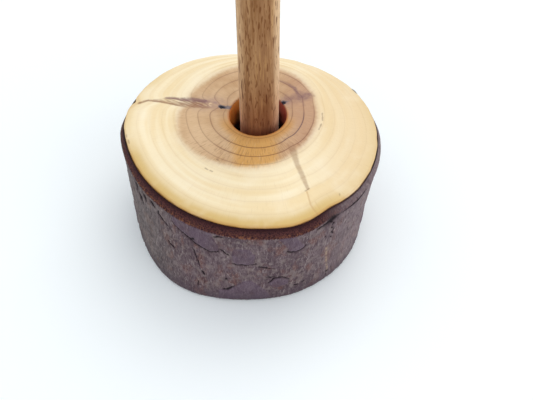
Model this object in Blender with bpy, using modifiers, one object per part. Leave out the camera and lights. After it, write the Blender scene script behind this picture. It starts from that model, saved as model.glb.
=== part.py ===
"""Top-whorl drop spindle standing in a live-edge log stand.

The stand is a short length of branch with its bark still on, sawn across at both ends and bored
from the top. The spindle stands loosely in the bore: a hardwood shaft, a turned whorl near its top,
and a brass screw hook with a pressed collar.

Metres, +Z up. The origin is on the spindle's axis at the stand's underside, and the front is -Y.
"""
import math

import bmesh
import bpy

MM = 0.001
FIT_GAP = 0.3 * MM              # left between pieces that touch

# Stand: the branch is measured from its middle at each end, under the bark.
STAND_HEIGHT = 38.0 * MM
FOOT_MIDDLE = (-4.3 * MM, -7.2 * MM)
TOP_MIDDLE = (-2.3 * MM, -7.5 * MM)
FOOT_RADIUS = 34.8 * MM
TOP_RADIUS = 36.5 * MM
# Lobes of each section: (lobes round the section, height, direction of a lobe in degrees).
FOOT_LOBES = ((2, 1.3 * MM, -26.0),)
TOP_LOBES = ((2, 2.0 * MM, -21.0), (3, 0.6 * MM, 28.0))
# Single swellings and flats: (direction in degrees, height, half width in degrees).
FOOT_SWELLINGS = ((-125.0, 2.6 * MM, 25.0),)
TOP_SWELLINGS = ((172.0, 0.9 * MM, 12.0), (-52.0, -1.0 * MM, 9.0), (-70.0, 0.5 * MM, 9.0))
OUTLINE_STEPS = 96
WALL_STEPS = 4                  # rings up the wall, so that its twist stays smooth
LOG_EDGE_EASE = 0.4 * MM
BARK_THICKNESS = 1.6 * MM
BARK_THICKER = 0.7 * MM         # more on its thick side, less on the other
BARK_THICK_SIDE = -70.0         # degrees
BARK_CHAMFER_DROP = 2.6 * MM
BARK_CHAMFER_TOP = 0.2 * MM     # flat left at the chamfer's inner edge
BARK_FOOT_EASE = 0.8 * MM

# Bore for the spindle.
BORE_RADIUS = 8.8 * MM
BORE_OFFSET = -0.4 * MM         # in X: the spindle stands a little to the right in its loose bore
BORE_DEPTH = 30.0 * MM
BORE_RIM_EASE = 0.5 * MM
BORE_STEPS = 64

# Spindle shaft.
SHAFT_RADIUS = 6.0 * MM
SHAFT_LENGTH = 280.0 * MM
SHAFT_TIP = 9.0 * MM            # length of the rounded lower tip
SHAFT_TOP_CHAMFER = 0.8 * MM
SHAFT_STEPS = 40
PILOT_DEPTH = 13.0 * MM

# Whorl: a disc with a boss round the shaft and a heavy rim.
WHORL_RADIUS = 32.0 * MM
WHORL_HALF = 6.0 * MM
WHORL_WEB_HALF = 4.0 * MM
WHORL_BELOW_TOP = 17.0 * MM     # from the shaft's top to the whorl's middle
WHORL_STEPS = 64
NOTCH_WIDTH = 3.2 * MM
NOTCH_DEPTH = 3.4 * MM
NOTCH_DIRECTION = -60.0         # degrees, round the axis from +X

# Screw hook and its collar.
WIRE_RADIUS = 1.2 * MM
HOOK_RADIUS = 6.0 * MM          # of the loop, to the middle of the wire
HOOK_BEND_RADIUS = 3.0 * MM     # of the bend out of the stem
HOOK_END = -30.0                # degrees, where the loop stops
STEM_LENGTH = 1.6 * MM          # above the collar
SHANK_LENGTH = 12.0 * MM        # below the shaft's top
COLLAR_RADIUS = 5.0 * MM
COLLAR_HEIGHT = 1.5 * MM
COLLAR_STEPS = 40

SHAFT_FOOT_Z = STAND_HEIGHT - BORE_DEPTH + FIT_GAP
SHAFT_TOP_Z = SHAFT_FOOT_Z + SHAFT_LENGTH
COLLAR_FOOT_Z = SHAFT_TOP_Z + FIT_GAP
COLLAR_TOP_Z = COLLAR_FOOT_Z + COLLAR_HEIGHT
WHORL_MID_Z = SHAFT_TOP_Z - WHORL_BELOW_TOP


def clear_scene():
    for obj in list(bpy.data.objects):
        bpy.data.objects.remove(obj, do_unlink=True)


def make_collection(name):
    collection = bpy.data.collections.new(name)
    bpy.context.scene.collection.children.link(collection)
    return collection


def make_material(name, colour, roughness, metallic=0.0):
    material = bpy.data.materials.new(name)
    material.use_nodes = True
    shader = material.node_tree.nodes["Principled BSDF"]
    shader.inputs["Base Color"].default_value = (*colour, 1.0)
    shader.inputs["Roughness"].default_value = roughness
    shader.inputs["Metallic"].default_value = metallic
    return material


def shade_round(obj, angle=35.0):
    """Smooth shading with the real corners kept sharp."""
    obj.data.shade_smooth()
    obj.data.set_sharp_from_angle(angle=math.radians(angle))


def as_cutter(obj):
    obj.hide_render = True
    obj.display_type = 'WIRE'
    return obj


def cut(obj, cutter, name):
    """Take the cutter's volume out of an object."""
    modifier = obj.modifiers.new(name, 'BOOLEAN')
    modifier.operation = 'DIFFERENCE'
    modifier.solver = 'EXACT'
    modifier.object = cutter


# Turned pieces

def turned(name, collection, profile, steps, material=None):
    """A profile of (radius, height) points, down its outer side, turned about Z."""
    mesh = bpy.data.meshes.new(name)
    points = [(radius, 0.0, height) for radius, height in profile]
    edges = [(index, index + 1) for index in range(len(points) - 1)]
    mesh.from_pydata(points, edges, [])
    obj = bpy.data.objects.new(name, mesh)
    collection.objects.link(obj)
    screw = obj.modifiers.new("turn", 'SCREW')
    screw.axis = 'Z'
    screw.angle = math.radians(360.0)
    screw.steps = steps
    screw.render_steps = steps
    screw.use_merge_vertices = True
    screw.merge_threshold = 0.00001
    if material:
        mesh.materials.append(material)
    return obj


def arc(centre, radius, start, end, count):
    """Points on an arc in the (radius, height) plane, angles in degrees."""
    angles = [math.radians(start + (end - start) * step / count) for step in range(count + 1)]
    return [(centre[0] + radius * math.cos(a), centre[1] + radius * math.sin(a)) for a in angles]


# The branch section

def section_radius(angle, mean, lobes, swellings):
    """Radius of the wood under the bark, at an angle in radians round its middle."""
    radius = mean
    for count, height, direction in lobes:
        radius += height * math.cos(count * (angle - math.radians(direction)))
    for direction, height, width in swellings:
        turn = (angle - math.radians(direction) + math.pi) % (2.0 * math.pi) - math.pi
        radius += height * math.exp(-(turn / math.radians(width)) ** 2)
    return radius


def bark_thickness(angle):
    return BARK_THICKNESS + BARK_THICKER * math.cos(angle - math.radians(BARK_THICK_SIDE))


def wood_point(angle, height, outward, bark_share):
    """A point beside the wood: moved outward, and through a share of the bark's thickness."""
    share = height / STAND_HEIGHT
    foot = section_radius(angle, FOOT_RADIUS, FOOT_LOBES, FOOT_SWELLINGS)
    top = section_radius(angle, TOP_RADIUS, TOP_LOBES, TOP_SWELLINGS)
    radius = foot + (top - foot) * share + outward + bark_share * bark_thickness(angle)
    middle_x = FOOT_MIDDLE[0] + (TOP_MIDDLE[0] - FOOT_MIDDLE[0]) * share
    middle_y = FOOT_MIDDLE[1] + (TOP_MIDDLE[1] - FOOT_MIDDLE[1]) * share
    return (middle_x + radius * math.cos(angle), middle_y + radius * math.sin(angle), height)


def loft(name, collection, stations, closed, material):
    """A skin over rings of the branch section, each given as (outward, bark share, height).

    An open run of rings, from the top down, is capped at both ends. A closed run is a tube wall.
    """
    form = bmesh.new()
    angles = [2.0 * math.pi * step / OUTLINE_STEPS for step in range(OUTLINE_STEPS)]
    rings = []
    for outward, bark_share, height in stations:
        ring = [wood_point(angle, height, outward, bark_share) for angle in angles]
        rings.append([form.verts.new(point) for point in ring])
    pairs = list(zip(rings, rings[1:]))
    if closed:
        pairs.append((rings[-1], rings[0]))
    for upper, lower in pairs:
        for here in range(OUTLINE_STEPS):
            after = (here + 1) % OUTLINE_STEPS
            form.faces.new((upper[here], lower[here], lower[after], upper[after]))
    if not closed:
        form.faces.new(rings[0])
        form.faces.new(list(reversed(rings[-1])))
    mesh = bpy.data.meshes.new(name)
    form.to_mesh(mesh)
    form.free()
    mesh.materials.append(material)
    obj = bpy.data.objects.new(name, mesh)
    collection.objects.link(obj)
    return obj


def wall(outward, bark_share, start, end):
    """Rings up or down a wall, from one height to another."""
    heights = [start + (end - start) * step / WALL_STEPS for step in range(WALL_STEPS + 1)]
    return [(outward, bark_share, height) for height in heights]


# The stand

def build_bore_cutter(cutters):
    floor = STAND_HEIGHT - BORE_DEPTH
    above = STAND_HEIGHT + 2.0 * MM
    profile = [
        (0.0, above),
        (BORE_RADIUS + BORE_RIM_EASE, above),
        (BORE_RADIUS + BORE_RIM_EASE, STAND_HEIGHT),
        (BORE_RADIUS, STAND_HEIGHT - BORE_RIM_EASE),
        (BORE_RADIUS, floor),
        (0.0, floor),
    ]
    cutter = as_cutter(turned("bore_cutter", cutters, profile, BORE_STEPS))
    cutter.location = (BORE_OFFSET, 0.0, 0.0)
    return cutter


def build_stand_log(parts, cutters):
    wood = make_material("log_wood", (0.78, 0.62, 0.38), 0.6)
    stations = [(-LOG_EDGE_EASE, 0.0, STAND_HEIGHT)]
    stations += wall(0.0, 0.0, STAND_HEIGHT - LOG_EDGE_EASE, LOG_EDGE_EASE)
    stations += [(-LOG_EDGE_EASE, 0.0, 0.0)]
    log = loft("stand_log", parts, stations, False, wood)
    cut(log, build_bore_cutter(cutters), "bore")
    shade_round(log)
    return log


def build_stand_bark(parts):
    bark = make_material("bark", (0.11, 0.075, 0.07), 0.85)
    top = STAND_HEIGHT - FIT_GAP
    foot = FIT_GAP
    stations = [(FIT_GAP + BARK_CHAMFER_TOP, 0.0, top)]
    stations += wall(FIT_GAP, 1.0, top - BARK_CHAMFER_DROP, foot + BARK_FOOT_EASE)
    stations += [(FIT_GAP - BARK_FOOT_EASE, 1.0, foot)]
    stations += wall(FIT_GAP, 0.0, foot, top)
    ring = loft("stand_bark", parts, stations, True, bark)
    shade_round(ring)
    return ring


# The spindle

def build_shaft(parts, cutters, spindle):
    wood = make_material("shaft_wood", (0.34, 0.20, 0.11), 0.5)
    profile = [
        (0.0, SHAFT_TOP_Z),
        (SHAFT_RADIUS - SHAFT_TOP_CHAMFER, SHAFT_TOP_Z),
        (SHAFT_RADIUS, SHAFT_TOP_Z - SHAFT_TOP_CHAMFER),
    ]
    tip_steps = 8
    for step in range(tip_steps + 1):
        turn = math.radians(90.0 * step / tip_steps)
        height = SHAFT_FOOT_Z + SHAFT_TIP * (1.0 - math.sin(turn))
        profile.append((max(SHAFT_RADIUS * math.cos(turn), 0.0), height))
    shaft = turned("spindle_shaft", parts, profile, SHAFT_STEPS, wood)
    pilot_radius = WIRE_RADIUS + FIT_GAP
    pilot_profile = [
        (0.0, SHAFT_TOP_Z + 1.0 * MM),
        (pilot_radius, SHAFT_TOP_Z + 1.0 * MM),
        (pilot_radius, SHAFT_TOP_Z - PILOT_DEPTH),
        (0.0, SHAFT_TOP_Z - PILOT_DEPTH - pilot_radius),
    ]
    pilot = as_cutter(turned("pilot_cutter", cutters, pilot_profile, 16))
    cut(shaft, pilot, "pilot_hole")
    shade_round(shaft)
    shaft.parent = spindle
    return shaft


def whorl_profile():
    """Boss, cove and web, rounded rim and plain underside, then back up the shaft hole."""
    hole = SHAFT_RADIUS + FIT_GAP
    boss = 11.0 * MM
    rim_inside = 25.0 * MM
    rim_round = 4.0 * MM
    cove = WHORL_HALF - WHORL_WEB_HALF
    profile = [(hole, WHORL_MID_Z + WHORL_HALF), (boss - 1.0 * MM, WHORL_MID_Z + WHORL_HALF)]
    profile += arc((boss + cove, WHORL_MID_Z + WHORL_HALF), cove, 180.0, 270.0, 4)
    profile += arc((rim_inside - cove, WHORL_MID_Z + WHORL_HALF), cove, 270.0, 360.0, 4)
    rim = (WHORL_RADIUS - rim_round, WHORL_MID_Z + WHORL_HALF - rim_round)
    profile += arc(rim, rim_round, 90.0, 0.0, 6)
    rim = (WHORL_RADIUS - rim_round, WHORL_MID_Z - WHORL_HALF + rim_round)
    profile += arc(rim, rim_round, 0.0, -90.0, 6)
    profile += [(hole, WHORL_MID_Z - WHORL_HALF), (hole, WHORL_MID_Z + WHORL_HALF)]
    return profile


def build_notch_cutter(cutters):
    """A peg through the rim, where the yarn crosses from the cop to the hook."""
    direction = math.radians(NOTCH_DIRECTION)
    reach = WHORL_RADIUS - NOTCH_DEPTH + NOTCH_WIDTH / 2.0
    bpy.ops.mesh.primitive_cylinder_add(vertices=20, radius=NOTCH_WIDTH / 2.0, depth=4.0 * WHORL_HALF)
    round_end = bpy.context.object
    round_end.location = (reach * math.cos(direction), reach * math.sin(direction), WHORL_MID_Z)
    round_end.name = "notch_round_cutter"
    bpy.ops.mesh.primitive_cube_add(size=1.0)
    slot = bpy.context.object
    slot.name = "notch_slot_cutter"
    middle = reach + NOTCH_DEPTH
    slot.location = (middle * math.cos(direction), middle * math.sin(direction), WHORL_MID_Z)
    slot.rotation_euler = (0.0, 0.0, direction)
    slot.scale = (2.0 * NOTCH_DEPTH, NOTCH_WIDTH, 4.0 * WHORL_HALF)
    for cutter in (round_end, slot):
        for holder in list(cutter.users_collection):
            holder.objects.unlink(cutter)
        cutters.objects.link(cutter)
        as_cutter(cutter)
    return round_end, slot


def build_whorl(parts, cutters, spindle):
    wood = make_material("whorl_wood", (0.42, 0.24, 0.12), 0.4)
    whorl = turned("whorl", parts, whorl_profile(), WHORL_STEPS, wood)
    for cutter in build_notch_cutter(cutters):
        cut(whorl, cutter, cutter.name)
    shade_round(whorl)
    whorl.parent = spindle
    return whorl


def hook_path():
    """Up the shank and stem, out through a bend, and round the loop over the spindle's axis."""
    turn = math.acos(HOOK_BEND_RADIUS / (HOOK_BEND_RADIUS + HOOK_RADIUS))
    bend_z = COLLAR_TOP_Z + STEM_LENGTH
    loop_z = bend_z + (HOOK_BEND_RADIUS + HOOK_RADIUS) * math.sin(turn)
    points = [(0.0, 0.0, SHAFT_TOP_Z - SHANK_LENGTH), (0.0, 0.0, bend_z)]
    bend = arc((-HOOK_BEND_RADIUS, bend_z), HOOK_BEND_RADIUS, 0.0, math.degrees(turn), 5)
    loop = arc((0.0, loop_z), HOOK_RADIUS, 180.0 + math.degrees(turn), HOOK_END, 26)
    for across, height in bend[1:] + loop[1:]:
        points.append((across, 0.0, height))
    return points


def mesh_from_curve(curve_obj, collection):
    """The curve as a mesh with its end caps joined on."""
    name = curve_obj.name
    bpy.context.view_layer.update()
    evaluated = curve_obj.evaluated_get(bpy.context.evaluated_depsgraph_get())
    mesh = bpy.data.meshes.new_from_object(evaluated)
    form = bmesh.new()
    form.from_mesh(mesh)
    bmesh.ops.remove_doubles(form, verts=form.verts, dist=0.00001)
    form.to_mesh(mesh)
    form.free()
    matrix = curve_obj.matrix_world.copy()
    bpy.data.objects.remove(curve_obj, do_unlink=True)
    obj = bpy.data.objects.new(name, mesh)
    collection.objects.link(obj)
    obj.matrix_world = matrix
    return obj


def build_hook(parts, spindle):
    brass = make_material("hook_brass", (0.80, 0.58, 0.26), 0.3, 1.0)
    curve = bpy.data.curves.new("hook", 'CURVE')
    curve.dimensions = '3D'
    curve.bevel_depth = WIRE_RADIUS
    curve.bevel_resolution = 3
    curve.use_fill_caps = True
    path = hook_path()
    spline = curve.splines.new('POLY')
    spline.points.add(len(path) - 1)
    for point, place in zip(spline.points, path):
        point.co = (*place, 1.0)
    curve_obj = bpy.data.objects.new("hook", curve)
    parts.objects.link(curve_obj)
    hook = mesh_from_curve(curve_obj, parts)
    hook.data.materials.append(brass)
    shade_round(hook, 50.0)
    hook.parent = spindle
    return hook


def build_hook_collar(parts, spindle):
    brass = make_material("collar_brass", (0.78, 0.56, 0.25), 0.35, 1.0)
    hole = WIRE_RADIUS + FIT_GAP
    profile = [(hole, COLLAR_TOP_Z), (hole + 1.2 * MM, COLLAR_TOP_Z)]
    shoulder = COLLAR_RADIUS - 1.0 * MM
    profile += arc((shoulder, COLLAR_FOOT_Z + 0.2 * MM), 1.0 * MM, 70.0, 0.0, 4)
    profile += [(COLLAR_RADIUS, COLLAR_FOOT_Z), (hole, COLLAR_FOOT_Z), (hole, COLLAR_TOP_Z)]
    collar = turned("hook_collar", parts, profile, COLLAR_STEPS, brass)
    shade_round(collar)
    collar.parent = spindle
    return collar


def build_drop_spindle():
    clear_scene()
    parts = make_collection("drop_spindle")
    cutters = make_collection("drop_spindle_cutters")
    build_stand_log(parts, cutters)
    build_stand_bark(parts)
    spindle = bpy.data.objects.new("spindle_axis", None)
    parts.objects.link(spindle)
    build_shaft(parts, cutters, spindle)
    build_whorl(parts, cutters, spindle)
    build_hook(parts, spindle)
    build_hook_collar(parts, spindle)


build_drop_spindle()
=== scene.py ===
"""Looks of the drop spindle and its log stand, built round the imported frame."""
import math
import random

import bpy
import numpy as np
from mathutils import Matrix, Vector, noise
from mathutils.bvhtree import BVHTree


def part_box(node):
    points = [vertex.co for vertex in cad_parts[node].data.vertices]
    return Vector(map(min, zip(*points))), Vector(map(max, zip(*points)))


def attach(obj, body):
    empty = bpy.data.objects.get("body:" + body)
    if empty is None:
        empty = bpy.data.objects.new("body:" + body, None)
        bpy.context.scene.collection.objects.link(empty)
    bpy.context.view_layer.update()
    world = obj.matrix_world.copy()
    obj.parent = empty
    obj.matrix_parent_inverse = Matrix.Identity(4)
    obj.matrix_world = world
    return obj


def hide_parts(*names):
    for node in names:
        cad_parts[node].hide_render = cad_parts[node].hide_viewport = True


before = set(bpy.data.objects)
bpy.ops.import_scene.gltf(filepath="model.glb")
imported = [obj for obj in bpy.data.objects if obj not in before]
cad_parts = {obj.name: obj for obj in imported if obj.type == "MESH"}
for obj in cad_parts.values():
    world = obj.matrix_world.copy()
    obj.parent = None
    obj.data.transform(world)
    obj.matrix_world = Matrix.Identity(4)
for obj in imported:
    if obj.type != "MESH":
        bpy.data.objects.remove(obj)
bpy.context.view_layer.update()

MM = 0.001

# Where the frame puts things.
STAND_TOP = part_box("stand_log")[1].z
BARK_LOW, BARK_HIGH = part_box("stand_bark")
SHAFT_LOW, SHAFT_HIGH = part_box("spindle_shaft")
WHORL_LOW, WHORL_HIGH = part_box("whorl")
HOOK_LOW, HOOK_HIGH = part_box("hook")
COLLAR_LOW, COLLAR_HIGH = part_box("hook_collar")
SHAFT_RADIUS = SHAFT_HIGH.x
WHORL_RADIUS = WHORL_HIGH.x

# The stand, in metres and degrees.
BORE_CENTRE = (-0.4 * MM, 0.0)
BORE_RADIUS = 8.8 * MM
BORE_DEPTH = 30 * MM
BORE_RIM = 0.5 * MM  # easing of the bore's edge
SECTION_CENTRE = (-2.3 * MM, -7.5 * MM)  # middle of the sawn face, from the spindle's axis
PITH = (-0.5 * MM, 0.7 * MM)  # middle of the growth rings, bored away
FACE_BEGINS, FACE_ENDS = 0.012, 0.99  # the flat face's shares of the way from the bore to its edge
EDGE_EASE = 0.35 * MM  # easing of the sawn face's edge
NOTCH_DEPTH = 0.7 * MM  # nick in the sawn face's edge, on the left
NOTCH_ANGLE = 160.5
NOTCH_SPREAD = 1.6
CHAMFER_DROP = 2.6 * MM  # height of the rasped band round the bark's top edge
RIGHT_THINNING = 0.8 * MM  # how much thinner the bark is at its thinnest
THINNING_ANGLE = -20.0
THINNING_SPREAD = 34.0
BACK_SINK = 0.6 * MM  # how far the bark's edge lies below the face at the back
EDGE_GAP_ANGLE = 28.5  # where a dark bit of bark shows at the face's edge, right of the back
BACK_DROP = 1.6 * MM  # how much lower the rasped band reaches at the back
WALL_RADIUS_MM = 37.0  # turns degrees round the bark into millimetres

# The spindle, in metres.
SHAFT_TIP = 9 * MM  # the long ease at the shaft's lower end
SHAFT_EASE = 0.8 * MM
WHORL_BOSS = 11 * MM
WHORL_COVE = 2 * MM
WHORL_RIM_INSIDE = 25 * MM
WHORL_RIM_ROUND = 4 * MM
UPPER_LINES = (17 * MM, 18.2 * MM)  # turned lines in the web
LOWER_LINES = (12 * MM, 21 * MM)  # turned lines in the underside
YARN_NOTCH_ANGLE = -60.0
YARN_NOTCH_HALF_WIDTH = 1.6 * MM
YARN_NOTCH_DEPTH = 3.4 * MM
HOOK_LOOP = 6 * MM
HOOK_BEND = 3 * MM

# The camera, in metres, millimetres of lens and degrees.
CAMERA_PLACE = (2.14 * MM, -178.5 * MM, STAND_TOP + 189.1 * MM)
CAMERA_LENS = 56.94
CAMERA_DOWN = 52.49
CAMERA_ROLL = -0.17

# Points round and along the meshes.
LOG_AROUND = 600
LOG_ACROSS = 96
BARK_AROUND_FRONT = 470
BARK_AROUND_BACK = 280
BARK_UP = 92
BARK_RIM_ROWS = 12
SHAFT_AROUND = 96
SHAFT_UP = 420
WHORL_AROUND = 240
WIRE_AROUND = 24


# Fields over many points

def smooth(value, low, high):
    """0 below low, 1 above high, with soft ends."""
    share = np.clip((value - low) / (high - low), 0.0, 1.0)
    return share * share * (3.0 - 2.0 * share)


def fade(value, low, high):
    """1 below low, 0 above high, with soft ends."""
    return 1.0 - smooth(value, low, high)


def bump(value, width):
    """1 at zero, falling away within a width."""
    return np.exp(-(value / width) ** 2)


def noise_field(x, y, z, octaves=1):
    """Blender's noise at many points, about -1 to 1, one unit to a lump."""
    x, y, z = np.broadcast_arrays(x, y, z)
    flat = zip(x.ravel().tolist(), y.ravel().tolist(), z.ravel().tolist())
    if octaves == 1:
        values = [noise.noise(point) for point in flat]
    else:
        values = [noise.fractal(point, 0.9, 2.1, octaves) for point in flat]
    return np.array(values).reshape(x.shape)


def path_distance(x, y, path):
    """Distance to a path of points, share along it of the nearest point, and the side (+ on its left)."""
    best = np.full(np.shape(x), 1e9)
    along = np.zeros(np.shape(x))
    side = np.ones(np.shape(x))
    for index, (start, end) in enumerate(zip(path, path[1:])):
        dx, dy = end[0] - start[0], end[1] - start[1]
        share = np.clip(((x - start[0]) * dx + (y - start[1]) * dy) / (dx * dx + dy * dy), 0.0, 1.0)
        gap = np.hypot(x - start[0] - share * dx, y - start[1] - share * dy)
        closer = gap < best
        best = np.where(closer, gap, best)
        along = np.where(closer, (index + share) / (len(path) - 1), along)
        turn = dx * (y - start[1]) - dy * (x - start[0])
        side = np.where(closer, np.sign(turn), side)
    return best, along, side


def gap_to(x, y, path):
    """Distance to a path of points."""
    return path_distance(x, y, path)[0]


def inside_depth(x, y, corners):
    """Distance inside a closed outline, negative outside it."""
    closed = list(corners) + [corners[0]]
    gap = gap_to(x, y, closed)
    inside = np.zeros(np.shape(x), bool)
    for start, end in zip(closed, closed[1:]):
        spans = (start[1] > y) != (end[1] > y)
        slope = (end[0] - start[0]) / ((end[1] - start[1]) or 1e-12)
        inside ^= spans & (x < start[0] + (y - start[1]) * slope)
    return np.where(inside, gap, -gap)


# Meshes

def grid_mesh(name, points, fields=None, capped=False):
    """A skin over rows of points that run down a piece's outer side, each row closed round the piece.

    The first and last rows are capped, or else the last row joins the first through the piece's inside.
    Fields are numbers at each point, which the materials read by name.
    """
    points = points[::-1]
    rows, columns = points.shape[:2]
    index = np.arange(rows * columns).reshape(rows, columns)
    after = np.roll(index, -1, axis=1)
    corners = [index, after, np.roll(after, -1, axis=0), np.roll(index, -1, axis=0)]
    if capped:
        corners = [corner[:-1] for corner in corners]
    faces = np.stack(corners, axis=-1).reshape(-1, 4).tolist()
    if capped:
        faces += [index[0, ::-1].tolist(), index[-1].tolist()]
    mesh = bpy.data.meshes.new(name)
    mesh.from_pydata(points.reshape(-1, 3).tolist(), [], faces)
    for key, values in (fields or {}).items():
        attribute = mesh.attributes.new(key, 'FLOAT', 'POINT')
        attribute.data.foreach_set("value", values[::-1].ravel().astype(np.float32))
    mesh.shade_smooth()
    mesh.update()
    obj = bpy.data.objects.new(name, mesh)
    bpy.context.scene.collection.objects.link(obj)
    return obj


def outline(node, height, angles):
    """Distance of a CAD node's outer side from the section's centre, at angles round it."""
    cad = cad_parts[node]
    corners = [cad.matrix_world @ vertex.co for vertex in cad.data.vertices]
    tree = BVHTree.FromPolygons(corners, [list(face.vertices) for face in cad.data.polygons])
    centre = Vector((*SECTION_CENTRE, height))
    reach = 0.2
    radii = []
    for angle in angles:
        out = Vector((math.cos(angle), math.sin(angle), 0.0))
        radii.append(reach - tree.ray_cast(centre + out * reach, -out)[3])
    radii = np.array(radii)
    for _ in range(3):
        radii = (np.roll(radii, 1) + 2.0 * radii + np.roll(radii, -1)) / 4.0
    return radii


def section_point(angle, radius, height):
    x = SECTION_CENTRE[0] + radius * np.cos(angle)
    y = SECTION_CENTRE[1] + radius * np.sin(angle)
    return np.stack([x, y, np.broadcast_to(height, np.shape(x))], axis=-1)


def all_round(count):
    """Even angles round a full turn."""
    return 2.0 * np.pi * np.arange(count) / count


def turned(profile, angles, limit=1.0):
    """Points of a piece turned about Z, from (radius, height) points down its outer side.

    The limit, one number or one at each angle, is the farthest that the radii reach.
    """
    profile = np.array(profile)
    radii = np.minimum(profile[:, :1], limit)
    x = radii * np.cos(angles)
    y = radii * np.sin(angles)
    return np.stack([x, y, np.broadcast_to(profile[:, 1:], x.shape)], axis=-1)


def arc(centre, radius, start, end, count):
    angles = np.radians(np.linspace(start, end, count))
    return [(centre[0] + radius * math.cos(a), centre[1] + radius * math.sin(a)) for a in angles]


# Material building

class Graph:
    """A material's node tree. Values are sockets or plain numbers."""

    def __init__(self, name):
        self.material = bpy.data.materials.new(name)
        self.material.use_nodes = True
        self.tree = self.material.node_tree
        self.shader = self.tree.nodes["Principled BSDF"]
        self.place = self.node("TexCoord", {}, "Object")
        self.x, self.y, self.z = self.node("SeparateXYZ", {"Vector": self.place}).node.outputs

    def put(self, socket, value):
        if isinstance(value, bpy.types.NodeSocket):
            self.tree.links.new(value, socket)
        else:
            socket.default_value = value

    def node(self, kind, inputs, output=0, **settings):
        """One output of a new node with its settings made and its inputs filled in."""
        node = self.tree.nodes.new("ShaderNode" + kind)
        for key, value in settings.items():
            setattr(node, key, value)
        for key, value in inputs.items():
            self.put(node.inputs[key], value)
        return node.outputs[output]

    def math(self, operation, first, second=0.0):
        return self.node("Math", {0: first, 1: second}, operation=operation)

    def add(self, first, second):
        return self.math('ADD', first, second)

    def times(self, first, second):
        return self.math('MULTIPLY', first, second)

    def away(self, x, y):
        """Distance from where x and y are both zero."""
        return self.math('SQRT', self.add(self.times(x, x), self.times(y, y)))

    def field(self, name):
        return self.node("Attribute", {}, "Fac", attribute_name=name)

    def stretched(self, scale, offset=(0.0, 0.0, 0.0), turn=0.0):
        """The place in lumps: how many to a metre each way, turned about Z first."""
        place = self.node("Mapping", {"Vector": self.place, "Rotation": (0.0, 0.0, turn)})
        return self.node("VectorMath", {0: place, 1: scale, 2: offset}, operation='MULTIPLY_ADD')

    def combine(self, x, y, z):
        return self.node("CombineXYZ", {0: x, 1: y, 2: z})

    def noise(self, vector, detail, roughness, distortion=0.0):
        inputs = {"Vector": vector, "Scale": 1.0, "Detail": detail, "Roughness": roughness}
        return self.node("TexNoise", {**inputs, "Distortion": distortion}, "Fac")

    def grain(self, scale, detail, roughness, distortion=0.0, offset=(0.0, 0.0, 0.0), turn=0.0):
        """Noise at the stretched place."""
        return self.noise(self.stretched(scale, offset, turn), detail, roughness, distortion)

    def smooth(self, value, low, high, start=0.0, end=1.0):
        """start at low and end at high, with soft ends. Low may be the greater."""
        inputs = {"Value": value, "From Min": low, "From Max": high, "To Min": start, "To Max": end}
        return self.node("MapRange", inputs, "Result", interpolation_type='SMOOTHSTEP')

    def curve(self, value, points):
        """A value read off a curve through (in, out) points."""
        node = self.tree.nodes.new("ShaderNodeFloatCurve")
        line = node.mapping.curves[0]
        line.points[0].location = points[0]
        line.points[1].location = points[-1]
        for point in points[1:-1]:
            line.points.new(*point)
        node.mapping.update()
        self.put(node.inputs["Value"], value)
        return node.outputs[0]

    def mix(self, share, first, second, blend='MIX'):
        return self.node("Mix", {"Factor": share, "A": colour(first), "B": colour(second)}, "Result",
                         data_type='RGBA', blend_type=blend)

    def layers(self, base, table):
        """Colours laid over the base in turn.

        A row has a value, where the layer begins, where it is full, its full share and its colour. Anything
        after these multiplies the share.
        """
        for value, begin, full, most, layer, *factors in table:
            share = self.smooth(value, begin, full, 0.0, most)
            for factor in factors:
                share = self.times(share, factor)
            base = self.mix(share, base, layer)
        return base

    def finish(self, base, roughness, height=None, depth=MM, **fixed):
        """Sets the surface: colour, roughness, relief of a depth in metres, and fixed shader values."""
        self.put(self.shader.inputs["Base Color"], base)
        self.put(self.shader.inputs["Roughness"], roughness)
        if height is not None:
            normal = self.node("Bump", {"Strength": 1.0, "Distance": depth, "Height": height})
            self.put(self.shader.inputs["Normal"], normal)
        for key, value in fixed.items():
            self.shader.inputs[key.replace("_", " ").title().replace("Ior", "IOR")].default_value = value
        return self.material


def colour(rgb):
    """A screen colour of 0 to 255 as linear light. A socket stays as it is."""
    if isinstance(rgb, bpy.types.NodeSocket):
        return rgb
    shares = [value / 255.0 for value in rgb]
    return (*(s / 12.92 if s <= 0.04045 else ((s + 0.055) / 1.055) ** 2.4 for s in shares), 1.0)


# The sawn face: places in millimetres from the spindle's axis, +X right, +Y back.

RING_RADII = (0.0, 3.6, 7.2, 10.7, 14.5, 17.9, 21.2)
RING_STRENGTHS = (0.3, 0.3, 0.3, 0.7, 0.95, 0.85, 0.6, 0.3, 0.4, 0.3, 0.4, 0.3)
ALL_RINGS = 11.0
HEART_RINGS = 5.95
BLUE_RING = 4  # the ring that is blue-black on the right
RINGS_DRIFT = 0.07  # how far the rings wander to the left as they grow

# The branch trace on the left: a feathery lens between two borders, ending in a crack at the bore.
LENS_LOW = ((-37.9, 4.5), (-34.5, 5.9), (-30.5, 5.3), (-26, 4), (-22, 2.9), (-17, 2.1), (-12, 1.9))
LENS_HIGH = ((-37.9, 4.6), (-34.5, 6.1), (-31, 7), (-27, 7.4), (-21, 6.6), (-16, 5.9), (-12, 4.6))
LEFT_TRACE = ((-8.5, 2.9), (-13, 3.6), (-18, 4.3), (-23, 4.9), (-28, 5.7), (-33, 5.7), (-38.4, 4.5))
UPPER_STREAK = ((-30.2, 6.9), (-27.5, 6.8), (-24.5, 6.3), (-21, 6.2), (-17, 5.4))
UPPER_WIDTHS = (0.35, 0.6, 0.8, 1.1, 0.9)
PALE_BARB = ((-19.6, 5.1), (-17.6, 4.6), (-16.2, 3.4))
LEFT_CRACK = ((-11.9, 3.1), (-10.4, 2.9), (-8.2, 2.7))
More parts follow.
